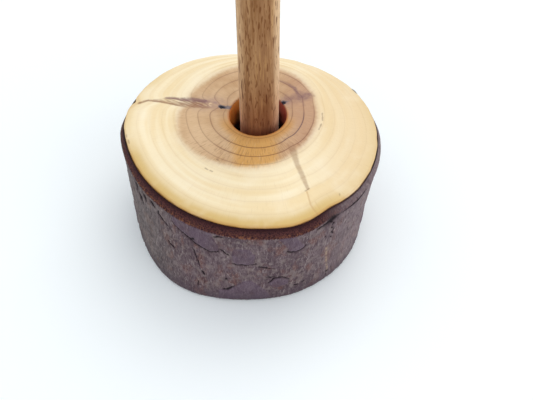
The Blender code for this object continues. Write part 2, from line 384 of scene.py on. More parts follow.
RIGHT_TRACE = ((9, 5.2), (11, 5.8), (13.5, 7.4), (17.6, 7.8))
RIGHT_CRACK = ((6.9, 4.4), (7.4, 4.7))
RIGHT_SPLINTER = ((7.4, 4.8), (8.6, 5.2), (10.4, 5.3))
EDGE_GAP = ((29.4, 10.6), (30.1, 9.7), (30.7, 8.8))
RIGHT_BAND = ((6, 14.7), (9, 13), (11.1, 11), (11.9, 8.9), (13.3, 6.2), (13.8, 3.5))
FRONT_TRACE = ((8.8, -10.5), (9.8, -14.5), (11, -20), (12.6, -25), (13.9, -29.4))
FRONT_WIDTHS = (1.3, 1.2, 0.8, 0.8, 0.5)
# Where the heartwood's edge swells or draws in: direction right, direction front, rings, spread.
HEART_DENTS = (
    (-0.74, -0.67, -0.5, 0.4), (-0.9, 0.43, 0.45, 0.5), (0.8, 0.6, -0.3, 0.5), (1, -0.15, -0.3, 0.6),
)
FRONT_HAIRLINE = ((13.6, -30.2), (14.6, -35.2), (16.4, -38.6))
FRONT_HAIRLINE_TWO = ((15.8, -34), (17.4, -37.4))
FLECKS = (
    ((-15.6, -21.6), (-14.8, -22.2)), ((-14.2, -22.5), (-13.6, -22.9)), ((13.3, -30), (14.4, -29.2)),
    ((-40, -8.3), (-39.8, -9.2)), ((-39.2, -10.6), (-38.8, -11.8)), ((22.9, -31.2), (23, -31.7)),
    ((19.4, 0.2), (19.3, -2.8)), ((18.9, -4.2), (18, -6.6)), ((-12.3, -18.2), (-11.6, -19)),
)


def blot(x, y, centre, squeeze, width, ragged):
    """1 at a centre, falling away within a width, squeezed each way and with a ragged edge."""
    return bump(np.hypot((x - centre[0]) * squeeze[0], (y - centre[1]) * squeeze[1]) + ragged, width)


def ribbon(x, y, path, widths):
    """Distance from a tapering ribbon's middle in half widths, and the share along it."""
    gap, along, side = path_distance(x, y, path)
    width = np.interp(along, np.linspace(0.0, 1.0, len(widths)), widths)
    return side * gap / width, along


def pith_place(x, y):
    """Places in millimetres seen from the rings' centre, which drifts left as the rings grow."""
    dx = x - PITH[0] / MM
    dy = y - PITH[1] / MM
    grown = np.minimum(np.hypot(dx, dy), RING_RADII[-1])
    dx = dx + RINGS_DRIFT * (grown - RING_RADII[3])
    return dx, dy, np.maximum(np.hypot(dx, dy), 1e-6)


def ring_age(x, y, rim):
    """Growth rings counted from the pith, where rim is each point's distance from pith to bark."""
    dx, dy, radius = pith_place(x, y)
    swell = 1.0 + 0.06 * smooth(dy / radius, 0.1, 0.8)
    swell = swell + 0.008 * noise_field(3.0 * dx / radius, 3.0 * dy / radius, radius / 9.0)
    heart = RING_RADII[-1] * swell
    rings = len(RING_RADII) - 1
    inner = np.interp(radius / swell, RING_RADII, range(rings + 1))
    reach = rim + RINGS_DRIFT * (RING_RADII[-1] - RING_RADII[3]) * dx / radius
    outer = rings + (ALL_RINGS - rings) * (radius - heart) / np.maximum(reach - heart, 1e-6)
    age = np.where(radius < heart, inner, outer)
    for path, pull, width in ((LEFT_TRACE, 0.95, 2.1), (RIGHT_TRACE, -0.3, 2.2), (FRONT_TRACE, 0.12, 1.8)):
        gap, along, _ = path_distance(x, y, path)
        age = age + pull * bump(gap, width) * smooth(age, 2.0, 4.0) * (1.0 - 0.6 * along)
    return age


def left_lens(x, y, rough):
    """Brown and plum stains of the feathery trace on the left, each 0 to 1."""
    low = np.interp(x, *zip(*LENS_LOW))
    high = np.interp(x, *zip(*LENS_HIGH))
    inside = smooth(y - low + 0.25 * rough, -0.2, 0.6) * smooth(high - y + 0.3 * rough, -0.2, 0.8)
    inside = inside * smooth(x, -37.8, -33.0) * fade(x, -19.0, -12.0)
    feather = noise_field(x / 4.0, (y + 0.5 * x) / 0.55, 7.0, 2)
    lower = smooth(x, -28.0, -24.0) * smooth(low + 1.4 - y, -0.4, 1.0)
    brown = inside * np.clip(0.52 + 0.5 * feather + 0.25 * lower, 0.18, 0.9)
    foot = bump(gap_to(x, y, LENS_LOW) + 0.12 * rough, 0.42) * smooth(x, -38.2, -37.2)
    brown = np.maximum(brown, 0.95 * foot * fade(x, -27.0, -17.0))
    streak, along = ribbon(x, y, UPPER_STREAK, UPPER_WIDTHS)
    plum = 0.8 * fade(np.abs(streak) + 0.3 * rough - 0.2 * feather, 0.2, 1.5)
    return brown, plum * smooth(along, 0.0, 0.12)


def right_smudges(x, y, rough):
    """Plum stains of the trace on the right, 0 to 1."""
    spot = blot(x, y, (15.6, 8.2), (1.0, 1.2), 1.3, 0.4 * rough)
    band_gap, band_along, _ = path_distance(x, y, RIGHT_BAND)
    band = bump(band_gap + 0.15 * rough, 0.7) * np.sin(np.pi * np.clip(band_along, 0.18, 0.85))
    cloud = blot(x, y - 0.12 * (x - 13.2), (13.2, 7.3), (0.65, 1.0), 2.3, 0.8 * rough)
    haze = blot(x, y, (9.8, 6.6), (0.6, 1.0), 2.0, 0.7 * rough)
    return np.maximum.reduce([0.6 * haze, 0.8 * cloud, 0.8 * spot, 0.85 * band])


def face_fields(x, y, rim):
    """What the sawn face's material needs at points in millimetres."""
    age = ring_age(x, y, rim)
    dx, dy, radius = pith_place(x, y)
    ahead, aside = -dy / radius, dx / radius
    rough = noise_field(x / 1.1, y / 1.1, 0.0, 3)
    front, _ = ribbon(x, y, FRONT_TRACE, FRONT_WIDTHS)
    streak = 0.55 * fade(np.abs(front - 0.1) + 0.12 * rough, 0.5, 1.3) * smooth(-y, 11.0, 15.0)
    brown, plum = left_lens(x, y, rough)
    plum = np.maximum(plum, right_smudges(x, y, rough))

    left_gap = gap_to(x, y, LEFT_CRACK)
    knot = fade(left_gap + 0.4 * rough, 0.3, 1.0)
    knot = knot * (0.45 + 0.55 * bump(x + 11.6, 1.4))
    right_gap = gap_to(x, y, RIGHT_CRACK)
    splinter, along, _ = path_distance(x, y, RIGHT_SPLINTER)
    thin = 0.75 * bump(splinter, 0.4) * (1.0 - along)
    edge_gap = gap_to(x, y, EDGE_GAP)
    thin = np.maximum(thin, 0.8 - 0.8 * smooth(edge_gap, 0.15, 0.5))
    knot = np.maximum(knot, np.maximum(thin, fade(right_gap + 0.4 * rough, 0.25, 1.35)))
    blotch = 0.75 + 0.5 * noise_field(x / 1.6, y / 1.2, 3.0)
    halo = 1.25 * blot(x, y, (-15.6, 4.4), (0.55, 1.1), 3.0, 0.6 * rough)
    halo = np.maximum(halo, 0.9 * blot(x, y, (8.2, 5.0), (0.8, 1.0), 2.0, 0.6 * rough)) * blotch
    curl = np.abs(np.hypot(x + 14.9, (y - 4.0) * 1.2) - 0.7) + 0.6 * smooth(x + y * 0.4, -13.4, -12.4)
    barb = 0.7 * bump(gap_to(x, y, PALE_BARB) + 0.3 * rough, 0.5)
    gleam = np.maximum(bump(curl + 0.4 * rough, 0.36), barb)

    line = gap_to(x, y, FRONT_HAIRLINE)
    line = np.minimum(line, gap_to(x, y, FRONT_HAIRLINE_TWO) + 0.1)
    fleck = np.zeros(x.shape)
    for start, end in FLECKS:
        gap = gap_to(x, y, (start, end))
        fleck = np.maximum(fleck, fade(gap + 0.15 * rough, 0.0, 0.5))

    ring = np.round(age)
    strength = np.interp(ring, range(len(RING_STRENGTHS)), RING_STRENGTHS)
    strength = strength * (0.75 + 0.2 * ahead + 0.4 * noise_field(2.2 * aside, 2.2 * ahead, ring * 3.7))
    strength = strength * (1.0 - 0.3 * smooth(-aside, 0.2, 0.8))
    dark_side = smooth(aside, 0.3, 0.7) * smooth(ahead, -0.12, 0.2) * (ring == BLUE_RING)
    strength = np.clip(strength + 0.5 * dark_side, 0.0, 1.0)

    edge = HEART_RINGS - 0.42 * aside + np.where(ahead > 0.0, 0.15, 0.45) * ahead
    for turn_x, turn_y, change, width in HEART_DENTS:
        edge = edge + change * bump(np.hypot(aside - turn_x, ahead - turn_y), width)
    over = age + 0.09 * rough - edge
    heart = 0.56 * fade(over, -0.3, 0.35) + 0.44 * fade(over, -0.35, 0.9)
    warm = fade(np.abs(x + 1.2 + 0.1 * (y + 15.0)) + 0.6 * rough, 4.6, 8.4) * smooth(ahead, 0.3, 0.7)
    collar = smooth(ahead, 0.1, 0.6) * fade(radius, 10.6, 13.5)
    # Gold of the outermost rings, faded towards the back to leave a painted sheen there, and lessened on the
    # right and at the far left.
    gilt_and_back_sheen = smooth(ahead, -0.75, 0.1) * (1.0 - 0.65 * smooth(aside, 0.4, 0.8))
    gilt_and_back_sheen = gilt_and_back_sheen * (1.0 - 0.6 * smooth(-aside, 0.88, 0.99))
    return dict(age=age, heart=heart, brown=brown, plum=plum, streak=streak, knot=knot, halo=halo,
                gleam=gleam, hairline=line, fleck=fleck, ring_strength=strength, ring_blue=dark_side,
                gilt_and_back_sheen=gilt_and_back_sheen, warm=np.maximum(warm, collar))


def near_angle(angles, degrees, width):
    """1 at one direction round the section, falling away within a width in degrees."""
    return bump((np.degrees(angles) - degrees + 180.0) % 360.0 - 180.0, width)


def build_log():
    """The branch: sawn faces, bore and the side under the bark."""
    angles = all_round(LOG_AROUND)
    top_radius = outline("stand_log", STAND_TOP - 1 * MM, angles)
    foot_radius = outline("stand_log", 1 * MM, angles)
    notch = near_angle(angles, NOTCH_ANGLE, NOTCH_SPREAD)
    wiggle = noise_field(9.0 * np.cos(angles), 9.0 * np.sin(angles), 0.0, 2)
    nicked = top_radius - NOTCH_DEPTH * notch - 0.15 * MM * (1.0 + wiggle)
    out = np.stack([np.cos(angles), np.sin(angles)], axis=-1)
    rim = np.array(SECTION_CENTRE) + out * nicked[:, None]
    from_bore = rim - np.array(BORE_CENTRE)
    bore_way = from_bore / np.linalg.norm(from_bore, axis=1)[:, None]
    hole = np.array(BORE_CENTRE) + bore_way * BORE_RADIUS

    def ring(places, height):
        return np.concatenate([places, np.full((LOG_AROUND, 1), height)], axis=1)

    def bore_ring(radius, height):
        return ring(np.array(BORE_CENTRE) + bore_way * radius, height)

    floor = STAND_TOP - BORE_DEPTH
    rows = [bore_ring(0.4 * MM, floor), bore_ring(BORE_RADIUS - 0.3 * MM, floor)]
    rows += [bore_ring(BORE_RADIUS, floor + (BORE_DEPTH - BORE_RIM) * step / 12.0) for step in range(13)]
    for turn in np.radians((25.0, 50.0, 70.0)):
        radius = BORE_RADIUS + BORE_RIM * (1.0 - math.cos(turn))
        rows.append(bore_ring(radius, STAND_TOP - BORE_RIM * (1.0 - math.sin(turn))))
    first_face = len(rows)
    for share in np.linspace(FACE_BEGINS, FACE_ENDS, LOG_ACROSS):
        rows.append(ring(hole + (rim - hole) * share, STAND_TOP))
    last_face = len(rows)
    for turn in np.radians((60.0, 30.0, 0.0)):
        radius = nicked - EDGE_EASE * (1.0 - math.cos(turn))
        rows.append(section_point(angles, radius, STAND_TOP - EDGE_EASE * (1.0 - math.sin(turn))))
    for share in np.linspace(0.93, 0.02, 14):
        nick = NOTCH_DEPTH * notch * smooth(share, 0.7, 0.93)
        radius = foot_radius + (top_radius - foot_radius) * share - nick
        rows.append(section_point(angles, radius, STAND_TOP * share))
    rows.append(section_point(angles, foot_radius - 0.4 * MM, 0.0))
    rows += [section_point(angles, foot_radius * share, 0.0) for share in (0.8, 0.6, 0.4, 0.2, 0.02)]
    points = np.array(rows)

    x = points[:, :, 0] / MM
    y = points[:, :, 1] / MM
    way = np.arctan2(y - PITH[1] / MM, x - PITH[0] / MM)
    rim_x, rim_y = (rim - np.array(PITH)).T
    rim_way = np.arctan2(rim_y, rim_x)
    rim_reach = np.hypot(rim_x, rim_y) / MM
    order = np.argsort(rim_way)
    reach = np.interp(way, rim_way[order], rim_reach[order], period=2.0 * np.pi)
    fields = face_fields(x, y, reach)
    fields["wall"] = smooth(STAND_TOP - 0.25 * MM - points[:, :, 2], 0.0, 0.3 * MM)

    face = slice(first_face, last_face)
    height = points[face, :, 2]
    knot = fields["knot"][face]
    height -= 0.5 * MM * knot * smooth(knot, 0.3, 1.0)
    height -= 0.12 * MM * bump(fields["hairline"][face], 0.25)
    height -= 0.05 * MM * (0.5 + 0.5 * noise_field(x[face] / 9.0, y[face] / 9.0, 0.0))
    log = grid_mesh("log_wood", points, fields, capped=True)
    log.data.set_sharp_from_angle(angle=math.radians(60.0))
    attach(log, "stand")
    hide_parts("stand_log")
    return log


def log_material():
    g = Graph("end_grain")
    dx = g.add(g.x, -PITH[0])
    dy = g.add(g.y, -PITH[1])
    radius = g.away(dx, dy)
    across_x = g.math('DIVIDE', dx, radius)
    across_y = g.math('DIVIDE', dy, radius)
    age = g.field("age")
    heart = g.field("heart")

    def rays(fineness, length, seed):
        along = g.add(g.times(age, length), seed)
        return g.noise(g.combine(g.times(across_x, fineness), g.times(across_y, fineness), along), 2.0, 0.55)

    ring = g.math('FRACT', age)
    thin = g.curve(ring, ((0.0, 1.0), (0.035, 0.4), (0.08, 0.0), (0.88, 0.0), (0.95, 0.35), (1.0, 1.0)))
    wide = g.curve(ring, ((0.0, 1.0), (0.1, 0.35), (0.25, 0.0), (0.6, 0.05), (0.85, 0.5), (1.0, 1.0)))
    strength = g.field("ring_strength")
    bands = g.noise(g.combine(g.times(across_x, 0.8), g.times(across_y, 0.8), g.times(age, 1.3)), 2.0, 0.5)
    soft = g.grain((120, 120, 120), 3.0, 0.6)

    pale = g.layers((248, 232, 196), (
        (bands, 0.35, 0.66, 1.0, (240, 217, 170)),
        (dx, 8 * MM, 32 * MM, 0.7, (229, 202, 156)),
    ))
    pale = g.mix(g.times(wide, g.times(strength, 0.5)), pale, (218, 186, 134))
    pale = g.mix(g.times(thin, g.times(strength, 0.3)), pale, (186, 148, 96))
    pale = g.layers(pale, (
        # Gold outer rings, left out at the back for a painted sheen.
        (age, 9.5, 10.8, 0.9, (210, 176, 102), g.field("gilt_and_back_sheen")),
        (age, 10.75, 10.98, 0.7, (190, 142, 72), g.field("gilt_and_back_sheen")),
        (soft, 0.45, 0.75, 0.25, (253, 243, 220)),
    ))

    tan = g.mix(g.smooth(soft, 0.35, 0.7), (212, 177, 136), (192, 153, 111))
    tan = g.mix(g.times(wide, g.times(strength, 0.42)), tan, (160, 112, 72))
    front = g.smooth(across_y, -0.8, -0.3, 1.0, 0.4)
    tan = g.layers(tan, (
        (age, 5.7, 6.3, 0.2, (178, 136, 94)),
        (dx, 4 * MM, 14 * MM, 0.65, (184, 140, 112)),
        (dx, -10 * MM, -20 * MM, 0.35, (224, 194, 154)),
    ))
    tan = g.mix(g.times(g.field("warm"), 0.85), tan, (212, 158, 82))
    tan = g.layers(tan, (
        (rays(62.0, 1.4, 0.0), 0.5, 0.7, 0.5, (150, 104, 64), front),
        (rays(48.0, 0.9, 9.0), 0.54, 0.72, 0.35, (228, 192, 142), front),
    ))
    line_colour = g.mix(g.field("ring_blue"), (108, 62, 38), (62, 46, 66))
    tan = g.mix(g.times(thin, strength), tan, line_colour)
    base = g.mix(heart, pale, tan)

    bore_x = g.add(g.x, -BORE_CENTRE[0])
    from_wall = g.add(g.away(bore_x, g.y), -BORE_RADIUS)
    base = g.layers(base, (
        (rays(150.0, 1.2, 4.0), 0.56, 0.75, 0.12, (176, 138, 92)),
        # Painted highlight: an orange-gold line round the bore's rim, strongest at the front.
        (from_wall, 0.9 * MM, 0.3 * MM, 0.85, (196, 118, 54), g.smooth(g.y, -4 * MM, 3 * MM, 1.0, 0.3)),
        (from_wall, 3.6 * MM, 1.2 * MM, 0.4, (180, 122, 58), g.smooth(across_y, -0.6, -0.1, 1.0, 0.0)),
    ))
    base = g.mix(g.times(g.field("halo"), 0.62), base, (146, 112, 112))
    grain = g.grain((420, 2400, 400), 2.0, 0.6, turn=0.13)
    fine = g.smooth(grain, 0.2, 0.6, 0.75, 1.0)
    base = g.mix(g.times(g.field("streak"), fine), base, (158, 122, 90))
    base = g.layers(base, (
        (g.field("brown"), 0.05, 0.9, 0.85, (140, 94, 62), fine),
        (g.field("plum"), 0.05, 0.9, 0.8, (124, 88, 88), fine),
        (g.field("gleam"), 0.4, 1.0, 0.7, (232, 204, 160)),
        (g.field("knot"), 0.05, 0.5, 0.75, (104, 104, 116)),
        (g.field("knot"), 0.55, 0.95, 1.0, (24, 28, 44)),
        (g.field("hairline"), 0.4, 0.08, 0.42, (196, 152, 100)),
        (g.field("fleck"), 0.2, 0.9, 0.5, (134, 102, 74)),
    ))

    fibre = g.grain((700, 700, 60), 2.0, 0.6)
    down = g.math('SUBTRACT', STAND_TOP, g.z)
    middle = g.smooth(g.math('ABSOLUTE', bore_x), BORE_RADIUS - 2 * MM, BORE_RADIUS - 0.9 * MM, 0.6, 0.0)
    wall = g.layers((255, 174, 84), (
        (fibre, 0.35, 0.7, 1.0, (255, 154, 72)),
        (g.x, -2 * MM, 6 * MM, 0.8, (198, 100, 104)),
        # Painted shade: the wall goes almost black deep in the bore.
        (down, 7.5 * MM, 11 * MM, 0.92, (44, 16, 26)),
        # Painted shadow of the shaft on the wall's front and back, from 3.5 mm down.
        (down, 3.5 * MM, 7 * MM, 1.0, (44, 16, 26), middle),
    ))
    base = g.mix(g.field("wall"), base, wall)

    fine_place = g.stretched((2600, 2600, 2600))
    pores = g.node("TexVoronoi", {"Vector": fine_place, "Scale": 1.0}, "Distance")
    relief = g.add(g.times(g.smooth(pores, 0.1, 0.4), 0.35), g.times(rays(110.0, 0.8, 2.0), 0.5))
    relief = g.add(relief, g.times(thin, -0.3))
    return g.finish(base, g.smooth(soft, 0.3, 0.7, 0.5, 0.64), relief, 0.06 * MM, specular_ior_level=0.35)


# The bark: places as (degrees round, millimetres up), front at -90.

PLATES = (
    ((-127, 35.6), (-128, 33), (-125.3, 31.5), (-121.4, 30.3), (-117.9, 29.2), (-116, 28),
     (-112, 26.9), (-108.5, 26.1), (-105, 26.9), (-104.2, 29.5), (-106.5, 33.2), (-107.5, 36)),
    ((-97.5, 30.2), (-99, 27), (-98.2, 22.2), (-96.5, 21.5), (-94, 21.9), (-91.8, 21.5),
     (-89, 22.2), (-88, 27), (-90.5, 30.6)),
    ((-79, 35.6), (-76, 32), (-73.5, 28.2), (-70.7, 27.2), (-68.3, 27.6), (-66.4, 28.9),
     (-69.5, 33), (-71, 35.8)),
    ((-106, 6.4), (-102.5, 7), (-98, 9.6), (-93.5, 12.8), (-90, 12.9), (-87, 10.2), (-84, 7),
     (-80, 1.5), (-107, 1.2)),
    ((-82.5, 10.5), (-80, 13), (-76, 13.6), (-72.5, 11.6), (-72.5, 8.6), (-77.5, 7.2), (-81, 8.2)),
)
CRACKS = (
  # (points, width, depth)
    (((-128.2, 33.4), (-126.3, 31.7), (-121.4, 30.1), (-117.9, 29), (-116, 27.8), (-112, 26.7),
      (-108.5, 25.9), (-105, 26.9)), 0.42, 0.75),
    (((-103.9, 28.3), (-102, 27.2), (-100.2, 26)), 0.32, 0.5),
    (((-107, 33.3), (-104.3, 34.3), (-101.2, 34.9), (-96.5, 34.9)), 0.32, 0.5),
    (((-98.8, 21.8), (-96.5, 21.3), (-94, 21.7), (-91.8, 21.4), (-88.2, 22.2)), 0.34, 0.6),
    (((-74, 27.9), (-72.8, 27.2), (-70.7, 26.9), (-68.3, 27.3), (-65.8, 28.9)), 0.4, 0.7),
    (((-60, 34.3), (-56, 34.8), (-53, 34.8), (-49, 34.9), (-44, 35.2), (-38, 35.4),
      (-31, 35.5)), 0.28, 0.6),
    (((-60.5, 33.9), (-57, 34.4), (-52.5, 34.8), (-47, 35)), 0.5, 0.7),
    (((-56.4, 34.3), (-53, 34.5), (-50.2, 34.8)), 1.4, 1.4),
    (((-53, 33), (-51.6, 32.2)), 0.4, 0.7),
    (((-50.4, 31.9), (-51.4, 30.9)), 0.35, 0.6),
    (((-52.2, 30.2), (-51, 29.4)), 0.35, 0.6),
    (((-50.6, 28.8), (-51.6, 27.4), (-50.4, 26.2)), 0.3, 0.6),
    (((-51.8, 25.2), (-50.8, 24.2)), 0.3, 0.5),
    (((-55.2, 27.4), (-54.2, 26)), 0.25, 0.4),
    (((-117.6, 24.8), (-116.4, 22.1), (-115.2, 19), (-114.3, 15.6)), 0.22, 0.5),
    (((-113.6, 14.4), (-112.4, 12.6)), 0.35, 0.4),
    (((-136.6, 32.2), (-137, 31.2), (-134, 29.9), (-128.6, 28)), 0.4, 0.6),
    (((-131.2, 21.8), (-129.8, 20.8), (-127.4, 19.8)), 0.34, 0.45),
    (((-104.4, 6.6), (-102, 7.1), (-100.4, 7.9), (-98.2, 9.4)), 0.28, 0.4),
    (((-87.4, 20.6), (-83.5, 19.6), (-80, 18.8)), 0.26, 0.4),
    (((-83.4, 14.4), (-81.5, 13.9), (-79.4, 14.3)), 0.3, 0.5),
    (((-82.3, 10.6), (-80, 13.1), (-76, 13.7), (-72.6, 11.8), (-72.2, 9.6)), 0.24, 0.35),
    (((-70, 6.6), (-68, 6)), 0.35, 0.3),
    (((-66, 6.4), (-64.6, 6.9)), 0.3, 0.3),
    (((-116, 8.6), (-116.1, 5.2)), 0.25, 0.45),
    (((-155.2, 34.6), (-154.6, 31)), 1.1, 0.8),
    (((-148.4, 34), (-146.2, 31.4)), 0.9, 0.7),
    (((-152.4, 30.8), (-149.8, 28.6)), 0.9, 0.7),
    (((-142, 33.8), (-139.4, 32.8)), 0.6, 0.5),
)
HOLES = ((-116.6, 29.5, 0.45), (-50.7, 4.8, 0.45), (-50.9, 3, 0.3), (-102.2, 12.4, 0.4))
SEAM = ((-53.4, 20), (-52.8, 15), (-51.8, 10.2), (-50.6, 5.6))
# Pale patches, the one at -61.5 degrees a painted highlight on the lip under the crack above it: degrees
# round, millimetres up, half width and half height in millimetres.
PALE_PATCHES = ((-102, 32.7, 4, 1.8), (-61.5, 32.8, 3.6, 1.5), (-69, 12, 3, 5))
UNSEEN_SIDE = (-22.0, 198.0)
UNSEEN_SEED = 7
UNSEEN_PLATES = 13
UNSEEN_CRACKS = 12


def wall_place(degrees, height):
    """Millimetres round and up the bark."""
    return degrees * math.pi / 180.0 * WALL_RADIUS_MM, height


def wall_path(points):
    return [wall_place(*point) for point in points]


def unseen_bark(plates, cracks, holes):
    """More plates, cracks and holes of the same kinds, round the side away from the front."""
    dice = random.Random(UNSEEN_SEED)
    low, high = UNSEEN_SIDE
    for step in range(UNSEEN_PLATES):
        middle = low + (high - low) * (step + dice.random()) / UNSEEN_PLATES
        level = dice.uniform(7.0, 30.0)
        wide = dice.uniform(4.0, 9.0)
        tall = dice.uniform(2.5, 5.5)
        corners = []
        for turn in range(9):
            angle = 2.0 * math.pi * turn / 9.0
            reach = dice.uniform(0.7, 1.15)
            x, y = reach * math.cos(angle), reach * math.sin(angle)
            corners.append((middle + wide * x, level + tall * y))
        plates.append(tuple(corners))
        lower = sorted(corner for corner in corners if corner[1] < level)
        cracks.append((tuple((degrees, height - 0.2) for degrees, height in lower), 0.22, 0.5))
    for step in range(UNSEEN_CRACKS):
        degrees = low + (high - low) * (step + dice.random()) / UNSEEN_CRACKS
        level = dice.uniform(8.0, 34.0)
        lean = dice.uniform(-2.0, 2.0)
        long = dice.uniform(2.0, 6.0)
        cracks.append((((degrees, level), (degrees + 0.4 * lean, level - 0.4 * long),
                        (degrees + lean, level - long)), dice.uniform(0.16, 0.32), dice.uniform(0.3, 0.6)))
        holes.append((degrees + dice.uniform(-9.0, 9.0), dice.uniform(3.0, 34.0), dice.uniform(0.2, 0.45)))


def bark_fields(degrees, height):
    """Relief in millimetres and the material's fields, at degrees round and millimetres up."""
    plates, cracks, holes = list(PLATES), list(CRACKS), list(HOLES)
    unseen_bark(plates, cracks, holes)
    u, v = wall_place(degrees, height)
    turn = np.radians(degrees)
    cx, cy = np.cos(turn) * WALL_RADIUS_MM, np.sin(turn) * WALL_RADIUS_MM

    def lumps(across, up, seed, octaves=1, shift=0.0):
        return noise_field((cx + shift) / across, (cy + shift) / across, v / up + seed, octaves)

    rough = lumps(1.3, 1.6, 0.0, 3)
    wander = lumps(3.0, 3.0, 20.0)
    ragged_u = u + 0.25 * rough
    ragged_v = v + 0.2 * wander
    plate = np.full(u.shape, -9.0)
    for corners in plates:
        plate = np.maximum(plate, inside_depth(ragged_u, v + 0.25 * wander, wall_path(corners)))
    crack_and_shadow = np.full(u.shape, 9.0)
    carved = np.zeros(u.shape)
    for points, width, depth in cracks:
        path = wall_path(points)
        gap, along, _ = path_distance(ragged_u, ragged_v, path)
        # Points a little below each crack also count, so the dark reaches down under its lip as a painted
        # shadow.
        under = gap_to(ragged_u, ragged_v + 0.8 * width, path)
        taper = 0.45 + 0.55 * np.sin(np.pi * np.clip(along, 0.03, 0.97))
        crack_and_shadow = np.minimum(crack_and_shadow, (np.minimum(gap, under) + 0.1 * rough + 0.05) / (width * taper))
        carved = np.maximum(carved, 0.5 * depth * bump(np.minimum(gap, under), 1.1 * width * taper))
    for round_at, up, size in holes:
        at_u, at_v = wall_place(round_at, up)
        gap = np.hypot(u - at_u, (v - at_v) * 0.8)
        crack_and_shadow = np.minimum(crack_and_shadow, gap / size)
        carved = np.maximum(carved, 1.1 * size * bump(gap, size))
    seam = gap_to(u + 0.2 * rough, v, wall_path(SEAM))
    smoothness = smooth(plate, -0.1, 0.5)
    fibre = lumps(0.6, 3.6, 0.0, 2, 0.5 * lumps(2.5, 4.0, 9.0))
    scales_and_highlight = lumps(2.0, 2.2, 40.0, 2)
    # Pale patches raise the scales field, which lightens the colour: partly a painted highlight on a lip.
    for round_at, up, wide, tall in PALE_PATCHES:
        at_u, at_v = wall_place(round_at, up)
        scales_and_highlight = scales_and_highlight + 0.45 * bump(np.hypot((u - at_u) / wide, (v - at_v) / tall) + 0.3 * rough, 1.0)
    relief = 0.16 * lumps(7.0, 8.0, 0.0) - 0.42 - carved + 0.12 * bump(seam, 0.35)
    relief += (1.0 - smoothness) * (0.11 * fibre + 0.09 * scales_and_highlight + 0.06 * rough)
    relief += smoothness * (0.18 + 0.08 * bump(plate - 0.4, 0.5))
    return relief, {"plate": plate, "crack_and_shadow": crack_and_shadow, "seam": seam, "scales_and_highlight": scales_and_highlight, "fibre": fibre}


def build_bark():
    """The bark: a rough outer wall, the rasped band round its top edge, and a plain inner side."""
    degrees = np.concatenate([np.linspace(-165.0, -15.0, BARK_AROUND_FRONT, endpoint=False),
                              np.linspace(-15.0, 195.0, BARK_AROUND_BACK, endpoint=False)])
    angles = np.radians(degrees)
    sampled = BARK_HIGH.z - CHAMFER_DROP
    drop = CHAMFER_DROP + BACK_DROP * smooth(np.sin(angles), -0.05, 0.45)
    band_foot = BARK_HIGH.z - drop
    thinned = RIGHT_THINNING * near_angle(angles, THINNING_ANGLE, THINNING_SPREAD)
    wood = [outline("stand_log", height, angles) for height in (1 * MM, STAND_TOP - 1 * MM)]
    bark = [outline("stand_bark", height, angles) for height in (1.5 * MM, sampled - 0.1 * MM)]

    def wood_radius(height):
        return wood[0] + (wood[1] - wood[0]) * height / STAND_TOP

    def bark_radius(height):
        share = height / sampled
        return bark[0] + (bark[1] - bark[0]) * share - thinned * smooth(share, 0.0, 0.5)

    inner_gap = 0.08 * MM
    rows, relief_share, band = [], [], []

    def row(radius, height, relief, in_band):
        rows.append(section_point(angles, radius, height))
        relief_share.append(relief)
        band.append(in_band)

    sunk = smooth(np.sin(angles), 0.04, 0.2) * (1.0 - near_angle(angles, EDGE_GAP_ANGLE, 3.0))
    top = BARK_HIGH.z - BACK_SINK * sunk
    for share in np.linspace(0.0, 1.0, BARK_RIM_ROWS):
        outer = bark_radius(band_foot)
        inner = wood_radius(STAND_TOP) + inner_gap
        radius = inner + (outer - inner) * share
        height = top + (band_foot - top) * share ** 1.15
        row(radius, height, 0.35 * min(1.0, 4.0 * share), 1.0 - share ** 6)
    for share in np.linspace(0.0, 1.0, BARK_UP)[1:]:
        height = band_foot + (0.9 * MM - band_foot) * share
        row(bark_radius(height), height, 1.0, 0.0)
    foot = BARK_LOW.z
    row(bark_radius(foot) - 0.15 * MM, foot + 0.45 * MM, 0.8, 0.0)
    row(bark_radius(foot) - 0.45 * MM, foot + 0.12 * MM, 0.5, 0.0)
    row(bark_radius(foot) - 0.8 * MM, foot, 0.0, 0.0)
    for share in (0.0, 0.33, 0.66, 0.9, 0.99):
        row(wood_radius(share * top) + inner_gap, foot + share * (top - foot), 0.0, 0.0)
    points = np.array(rows)
    round_at = np.broadcast_to(degrees, points.shape[:2])
    relief, fields = bark_fields(round_at, points[:, :, 2] / MM)
    shares = np.array(relief_share)[:, None]
    points[:, :, 0] += MM * relief * shares * np.cos(angles)
    points[:, :, 1] += MM * relief * shares * np.sin(angles)
    in_band = np.array(band)[:, None]
    x, y, z = (points[:, :, axis] / MM for axis in range(3))
    grit = noise_field(x / 0.7, y / 0.7, z / 0.7, 2)
    points[:, :, 2] -= MM * 0.12 * np.abs(grit) * smooth(in_band, 0.2, 0.6) * (shares > 0.0)
    fields["band"] = np.broadcast_to(in_band, x.shape)
    skin = grid_mesh("bark", points, fields)
    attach(skin, "stand")
    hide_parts("stand_bark")
    return skin


